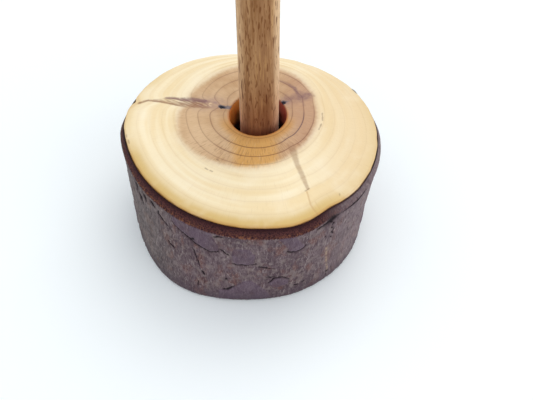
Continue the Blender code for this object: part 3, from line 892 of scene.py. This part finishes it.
def bark_material():
    g = Graph("bark")
    fibres = g.grain((1500, 1500, 430), 4.0, 0.7, 1.2)
    strands = g.grain((700, 700, 190), 3.0, 0.65, 0.9, (3.0, 6.0, 2.0))
    cloud = g.grain((130, 130, 110), 3.0, 0.6)
    cloud_two = g.grain((260, 260, 150), 3.0, 0.6, 0.0, (5.0, 1.0, 3.0))
    speck = g.grain((2600, 2600, 2200), 2.0, 0.7)
    base = g.layers((104, 87, 92), (
        (cloud, 0.35, 0.65, 1.0, (88, 71, 77)),
        (cloud_two, 0.5, 0.66, 0.7, (112, 78, 72)),
        (strands, 0.5, 0.7, 0.5, (124, 108, 108)),
        (g.x, -20 * MM, -36 * MM, 1.0, (106, 104, 98), 0.5),
        # Painted light: the bark lighter and greyer towards the right, where the light falls.
        (g.x, 12 * MM, 34 * MM, 0.5, (146, 130, 132)),
        # Pale hairs of the bark, on the same noise as the bump, and so also a painted highlight on its
        # ridges.
        (fibres, 0.5, 0.75, 0.72, (172, 158, 154)),
        # Painted shade in the valleys of the mesh's fibre relief.
        (g.field("fibre"), 0.0, -0.5, 0.35, (62, 46, 52)),
        # Lighter on raised scales and pale patches: painted highlight on the ridges and lips.
        (g.field("scales_and_highlight"), 0.1, 0.6, 0.45, (136, 122, 118)),
        # Dark gaps of the bark, on the same noise as the bump, and so also painted shade in its valleys.
        (fibres, 0.46, 0.3, 0.75, (52, 34, 40)),
    ))
    plate = g.layers((93, 74, 89), (
        (cloud_two, 0.35, 0.65, 1.0, (80, 62, 74)),
        (fibres, 0.4, 0.75, 0.4, (124, 108, 118)),
        (fibres, 0.45, 0.3, 0.4, (64, 50, 60)),
    ))
    broken = g.grain((300, 300, 700), 1.0, 0.5, 0.0, (1.0, 1.0, 8.0))
    base = g.layers(base, (
        (g.field("plate"), -0.1, 0.35, 0.75, plate),
        (g.field("seam"), 0.7, 0.1, 0.85, (156, 134, 116), g.smooth(broken, 0.4, 0.6, 0.25, 1.0)),
        # Painted shade: the bark darker towards its foot, near the floor.
        (g.z, 8 * MM, 1 * MM, 0.5, (72, 60, 70)),
    ))

    down = g.math('SUBTRACT', STAND_TOP, g.z)
    grains = g.grain((1500, 1500, 1500), 2.0, 0.75)
    rust = g.times(g.smooth(down, 1.2 * MM, 2.6 * MM), g.smooth(cloud, 0.35, 0.6, 0.3, 0.7))
    to_right = g.smooth(g.x, 16 * MM, 28 * MM, 0.0, 0.85)
    band = g.layers((82, 46, 44), (
        (speck, 0.42, 0.62, 1.0, (42, 22, 28)),
        (grains, 0.5, 0.58, 1.0, (142, 92, 62), rust),
        # Painted shadow: a dark line along the band's top, under the edge of the wood.
        (down, 1.5 * MM, 0.5 * MM, 0.85, (40, 14, 18)),
        (down, 0.3 * MM, 1 * MM, 1.0, base, to_right),
    ))
    ragged = g.add(g.field("band"), g.times(g.add(speck, -0.5), 0.9))
    base = g.layers(base, (
        (ragged, 0.25, 0.6, 1.0, band),
        # Cracks and holes dark, with painted shadow under the lips of the cracks and soft painted shade
        # round them.
        (g.field("crack_and_shadow"), 2.6, 0.8, 0.4, (58, 42, 50)),
        (g.field("crack_and_shadow"), 1.3, 0.4, 0.95, (26, 16, 20)),
    ))
    relief = g.add(g.add(g.times(fibres, 0.8), g.times(strands, 0.8)), g.times(speck, 0.4))
    rough = g.smooth(g.field("plate"), -0.1, 0.3, 0.8, 0.62)
    return g.finish(base, rough, relief, 0.24 * MM, specular_ior_level=0.14)


# The spindle

def build_shaft():
    """The shaft, with an eased top and a long rounded tip."""
    profile = [(SHAFT_RADIUS - SHAFT_EASE, SHAFT_HIGH.z)]
    profile += arc((SHAFT_RADIUS - SHAFT_EASE, SHAFT_HIGH.z - SHAFT_EASE), SHAFT_EASE, 80.0, 0.0, 6)
    low = SHAFT_LOW.z + SHAFT_TIP
    profile += [(SHAFT_RADIUS, height) for height in np.linspace(SHAFT_HIGH.z - 1.4 * MM, low, SHAFT_UP)]
    for turn in np.radians(np.linspace(8.0, 88.0, 14)):
        profile.append((SHAFT_RADIUS * math.cos(turn), low - SHAFT_TIP * math.sin(turn)))
    points = turned(profile, all_round(SHAFT_AROUND))
    x, y, z = (points[:, :, axis] / MM for axis in range(3))
    grain = noise_field(x / 0.9, y / 0.9, z / 22.0, 2)
    points[:, :, :2] *= 1.0 - 0.02 * MM * (1.0 + grain[:, :, None]) / SHAFT_RADIUS
    shaft = grid_mesh("shaft", points, capped=True)
    shaft.data.set_sharp_from_angle(angle=math.radians(60.0))
    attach(shaft, "spindle")
    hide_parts("spindle_shaft")
    return shaft


def shaft_material():
    g = Graph("shaft_hardwood")
    broad = g.grain((170, 170, 16), 3.0, 0.6, 0.4)
    stripes = g.grain((700, 700, 42), 3.0, 0.65, 0.3)
    fine = g.grain((2300, 2300, 260), 3.0, 0.65)
    flecks = g.grain((1900, 1900, 330), 1.0, 0.4, 0.0, (2.0, 4.0, 1.0))
    vessels = g.grain((1300, 1300, 170), 1.0, 0.4, 0.0, (7.0, 1.0, 5.0))
    crowd = g.grain((260, 260, 40), 2.0, 0.5, 0.0, (1.0, 9.0, 2.0))
    dark = g.times(g.smooth(vessels, 0.62, 0.7), g.smooth(crowd, 0.4, 0.55))
    aside = g.math('ABSOLUTE', g.x)
    base = g.layers((166, 126, 88), (
        (broad, 0.35, 0.65, 1.0, (141, 101, 69)),
        (stripes, 0.44, 0.66, 0.55, (112, 66, 28)),
        (stripes, 0.46, 0.28, 0.4, (194, 150, 96)),
        # Painted sheen: pale bands down the shaft's left and right sides, and a brighter one on the right.
        (aside, 3.4 * MM, 5.6 * MM, 0.75, (220, 184, 142), g.smooth(stripes, 0.35, 0.6, 1.0, 0.4)),
        (g.x, 3.8 * MM, 5.4 * MM, 0.45, (238, 206, 168)),
        (fine, 0.5, 0.7, 0.25, (116, 72, 36)),
        (fine, 0.45, 0.3, 0.15, (204, 162, 108)),
        (flecks, 0.59, 0.66, 0.6, (96, 48, 18)),
    ))
    base = g.mix(g.times(dark, 0.85), base, (88, 42, 16))
    # Painted shade with a reddish reflection: the shaft darker and redder towards the bore.
    low = g.smooth(g.z, STAND_TOP - 8 * MM, STAND_TOP + 24 * MM, 0.68, 0.0)
    base = g.mix(low, base, g.mix(1.0, base, (196, 124, 100), 'MULTIPLY'))
    relief = g.add(g.times(fine, 0.5), g.times(dark, -0.5))
    return g.finish(base, g.smooth(fine, 0.3, 0.7, 0.42, 0.55), relief, 0.05 * MM, specular_ior_level=0.0,
                    sheen_weight=0.5, sheen_roughness=0.4, sheen_tint=(1.0, 0.8, 0.58, 1.0))


def build_whorl():
    """The whorl: boss, cove and web above, rounded rim with a notch, two turned lines below."""
    top, foot = WHORL_HIGH.z, WHORL_LOW.z
    hole = SHAFT_RADIUS + 0.06 * MM
    profile = [(hole, top - 0.3 * MM), (hole + 0.3 * MM, top)]
    profile += [(radius, top) for radius in np.linspace(hole + 1 * MM, WHORL_BOSS - 0.4 * MM, 6)]
    profile += arc((WHORL_BOSS + WHORL_COVE, top), WHORL_COVE, 188.0, 270.0, 10)
    for radius in np.linspace(WHORL_BOSS + 1.2 * WHORL_COVE, WHORL_RIM_INSIDE - 1.2 * WHORL_COVE, 24):
        line = min(abs(radius - place) for place in UPPER_LINES)
        profile.append((radius, top - WHORL_COVE - 0.25 * MM * bump(line, 0.25 * MM)))
    profile += arc((WHORL_RIM_INSIDE - WHORL_COVE, top), WHORL_COVE, 270.0, 352.0, 10)
    rim = WHORL_RADIUS - WHORL_RIM_ROUND
    profile += arc((rim, top - WHORL_RIM_ROUND), WHORL_RIM_ROUND, 88.0, 0.0, 14)
    profile += arc((rim, foot + WHORL_RIM_ROUND), WHORL_RIM_ROUND, 0.0, -88.0, 14)
    for radius in np.linspace(rim - 1 * MM, hole + 0.5 * MM, 44):
        line = min(abs(radius - place) for place in LOWER_LINES)
        profile.append((radius, foot + 0.3 * MM * bump(line, 0.4 * MM)))
    profile.append((hole, foot + 0.2 * MM))

    notch_at = math.radians(YARN_NOTCH_ANGLE)
    close = (notch_at + np.radians(np.linspace(-5.0, 5.0, 61))) % (2.0 * np.pi)
    angles = np.unique(np.round(np.concatenate([all_round(WHORL_AROUND), close]), 6))
    across = np.abs(WHORL_RADIUS * np.sin(angles - notch_at))
    ahead = np.cos(angles - notch_at) > 0.0
    mouth = np.clip(1.0 - (across / YARN_NOTCH_HALF_WIDTH) ** 4, 0.0, 1.0)
    floor = WHORL_RADIUS - YARN_NOTCH_DEPTH * mouth ** 0.5
    floor = np.where(ahead & (across < YARN_NOTCH_HALF_WIDTH), floor, 1.0)
    points = turned(profile, angles, floor)
    whorl = grid_mesh("whorl_disc", points)
    whorl.data.set_sharp_from_angle(angle=math.radians(50.0))
    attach(whorl, "spindle")
    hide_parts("whorl")
    return whorl


def whorl_material():
    g = Graph("whorl_hardwood")
    wander = g.grain((26, 60, 60), 2.0, 0.5)
    across = g.add(g.times(g.y, 300.0), g.times(wander, 3.2))
    rings = g.math('FRACT', g.add(across, g.times(g.z, 260.0)))
    late = g.curve(rings, ((0.0, 0.0), (0.6, 0.25), (0.92, 1.0), (1.0, 0.0)))
    fine = g.grain((110, 2400, 2400), 3.0, 0.6)
    vessel = g.grain((190, 1500, 1500), 1.0, 0.4, 0.0, (3.0, 8.0, 1.0))
    cloud = g.grain((70, 90, 90), 2.0, 0.5)
    base = g.mix(g.smooth(cloud, 0.3, 0.7), (166, 108, 66), (136, 82, 48))
    base = g.mix(g.times(late, 0.5), base, (104, 58, 34))
    base = g.layers(base, (
        (fine, 0.4, 0.7, 0.35, (184, 128, 82)),
        (vessel, 0.64, 0.73, 0.7, (62, 34, 22)),
    ))
    turning = g.noise(g.combine(g.times(g.away(g.x, g.y), 5200.0), g.times(g.z, 5200.0), 0.0), 1.0, 0.5)
    relief = g.add(g.smooth(vessel, 0.64, 0.73, 1.0, 0.0), g.times(turning, 0.35))
    return g.finish(base, g.smooth(fine, 0.3, 0.7, 0.3, 0.42), relief, 0.05 * MM,
                    coat_weight=0.25, coat_roughness=0.25)


def build_hook():
    """The hook: one bent wire with a rounded end."""
    wire = HOOK_HIGH.y
    turn = math.acos(HOOK_BEND / (HOOK_BEND + HOOK_LOOP))
    loop_z = HOOK_HIGH.z - HOOK_LOOP - wire
    bend_z = loop_z - (HOOK_BEND + HOOK_LOOP) * math.sin(turn)
    path = [(0.0, height) for height in np.linspace(HOOK_LOW.z, bend_z, 20)]
    path += arc((-HOOK_BEND, bend_z), HOOK_BEND, 0.0, math.degrees(turn), 14)[1:]
    path += arc((0.0, loop_z), HOOK_LOOP, 180.0 + math.degrees(turn), -12.0, 84)[1:]
    path += arc((0.0, loop_z), HOOK_LOOP, -14.0, -30.0, 12)
    path = np.array(path)
    along = np.gradient(path, axis=0)
    along /= np.linalg.norm(along, axis=1)[:, None]
    to_end = np.linalg.norm(path - path[-1], axis=1)
    radii = wire * np.sqrt(np.clip(1.0 - np.clip(1.0 - to_end / wire, 0.0, 0.98) ** 2, 0.04, 1.0))
    sides = all_round(WIRE_AROUND)
    x = path[:, :1] - along[:, 1:] * radii[:, None] * np.cos(sides)
    z = path[:, 1:] + along[:, :1] * radii[:, None] * np.cos(sides)
    y = radii[:, None] * np.sin(sides)
    hook = grid_mesh("hook_wire", np.stack([x, y, z], axis=-1)[::-1], capped=True)
    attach(hook, "spindle")
    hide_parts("hook")
    return hook


def build_collar():
    """The pressed collar, a rounded ring below the hook."""
    low, high, radius = COLLAR_LOW.z, COLLAR_HIGH.z, COLLAR_HIGH.x
    hole = 1.25 * MM
    profile = [(hole, high - 0.1 * MM), (hole + 0.2 * MM, high), (hole + 1 * MM, high)]
    profile += [(radius - 1.6 * MM, high - 0.28 * MM)]
    profile += arc((radius - 0.7 * MM, low + 0.55 * MM), 0.7 * MM, 85.0, -50.0, 12)
    profile += [(radius - 1 * MM, low), (hole, low)]
    collar = grid_mesh("collar", turned(profile, all_round(72)))
    collar.data.set_sharp_from_angle(angle=math.radians(50.0))
    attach(collar, "spindle")
    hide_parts("hook_collar")
    return collar


def brass_material(name, bright):
    g = Graph(name)
    haze = g.grain((500, 500, 500), 3.0, 0.6)
    lines = g.grain((5000, 5000, 900), 2.0, 0.6)
    base = g.mix(g.smooth(haze, 0.35, 0.7), bright, (176, 132, 66))
    base = g.mix(g.smooth(haze, 0.62, 0.8, 0.0, 0.6), base, (120, 84, 42))
    return g.finish(base, g.smooth(lines, 0.3, 0.7, 0.2, 0.38), lines, 0.01 * MM, metallic=1.0)


# Stage, light and camera

def build_stage():
    mesh = bpy.data.meshes.new("floor")
    reach = 4.0
    corners = [(-reach, -reach, 0.0), (reach, -reach, 0.0), (reach, reach, 0.0), (-reach, reach, 0.0)]
    mesh.from_pydata(corners, [], [range(4)])
    floor = bpy.data.objects.new("floor", mesh)
    bpy.context.scene.collection.objects.link(floor)
    g = Graph("floor_paper")
    tone = g.grain((3, 3, 3), 2.0, 0.5)
    floor.data.materials.append(g.finish(g.mix(tone, (246, 251, 251), (250, 254, 254)), 0.8))


def area_light(name, place, target, size, power, tint=(1.0, 1.0, 1.0)):
    data = bpy.data.lights.new(name, 'AREA')
    data.shape = 'DISK'
    data.size = size
    data.energy = power
    data.color = tint
    light = bpy.data.objects.new(name, data)
    light.location = place
    light.rotation_euler = (Vector(target) - Vector(place)).to_track_quat('-Z', 'Y').to_euler()
    bpy.context.scene.collection.objects.link(light)


def build_light():
    world = bpy.data.worlds.new("studio")
    bpy.context.scene.world = world
    world.use_nodes = True
    sky = world.node_tree.nodes["Background"]
    sky.inputs["Color"].default_value = (0.93, 0.96, 1.0, 1.0)
    sky.inputs["Strength"].default_value = 0.99
    area_light("key", (0.3, 0.5, 0.85), (0.0, 0.0, 0.02), 0.8, 2.1, (1.0, 0.97, 0.94))
    area_light("fill", (0.7, -0.4, 0.4), (0.0, 0.0, 0.05), 0.9, 1.2)
    bpy.context.scene.view_settings.view_transform = 'Standard'


def build_camera():
    data = bpy.data.cameras.new("camera")
    data.sensor_width = 36.0
    data.lens = CAMERA_LENS
    camera = bpy.data.objects.new("camera", data)
    camera.location = CAMERA_PLACE
    tilt = Matrix.Rotation(math.radians(90.0 - CAMERA_DOWN), 3, 'X')
    camera.rotation_euler = (tilt @ Matrix.Rotation(math.radians(CAMERA_ROLL), 3, 'Z')).to_euler()
    bpy.context.scene.collection.objects.link(camera)
    bpy.context.scene.camera = camera


def dress(obj, material):
    obj.data.materials.clear()
    obj.data.materials.append(material)


build_stage()
build_light()
build_camera()
dress(build_log(), log_material())
dress(build_bark(), bark_material())
dress(build_shaft(), shaft_material())
dress(build_whorl(), whorl_material())
dress(build_hook(), brass_material("hook_brass", (222, 182, 104)))
dress(build_collar(), brass_material("collar_brass", (214, 172, 96)))

bpy.context.view_layer.update()
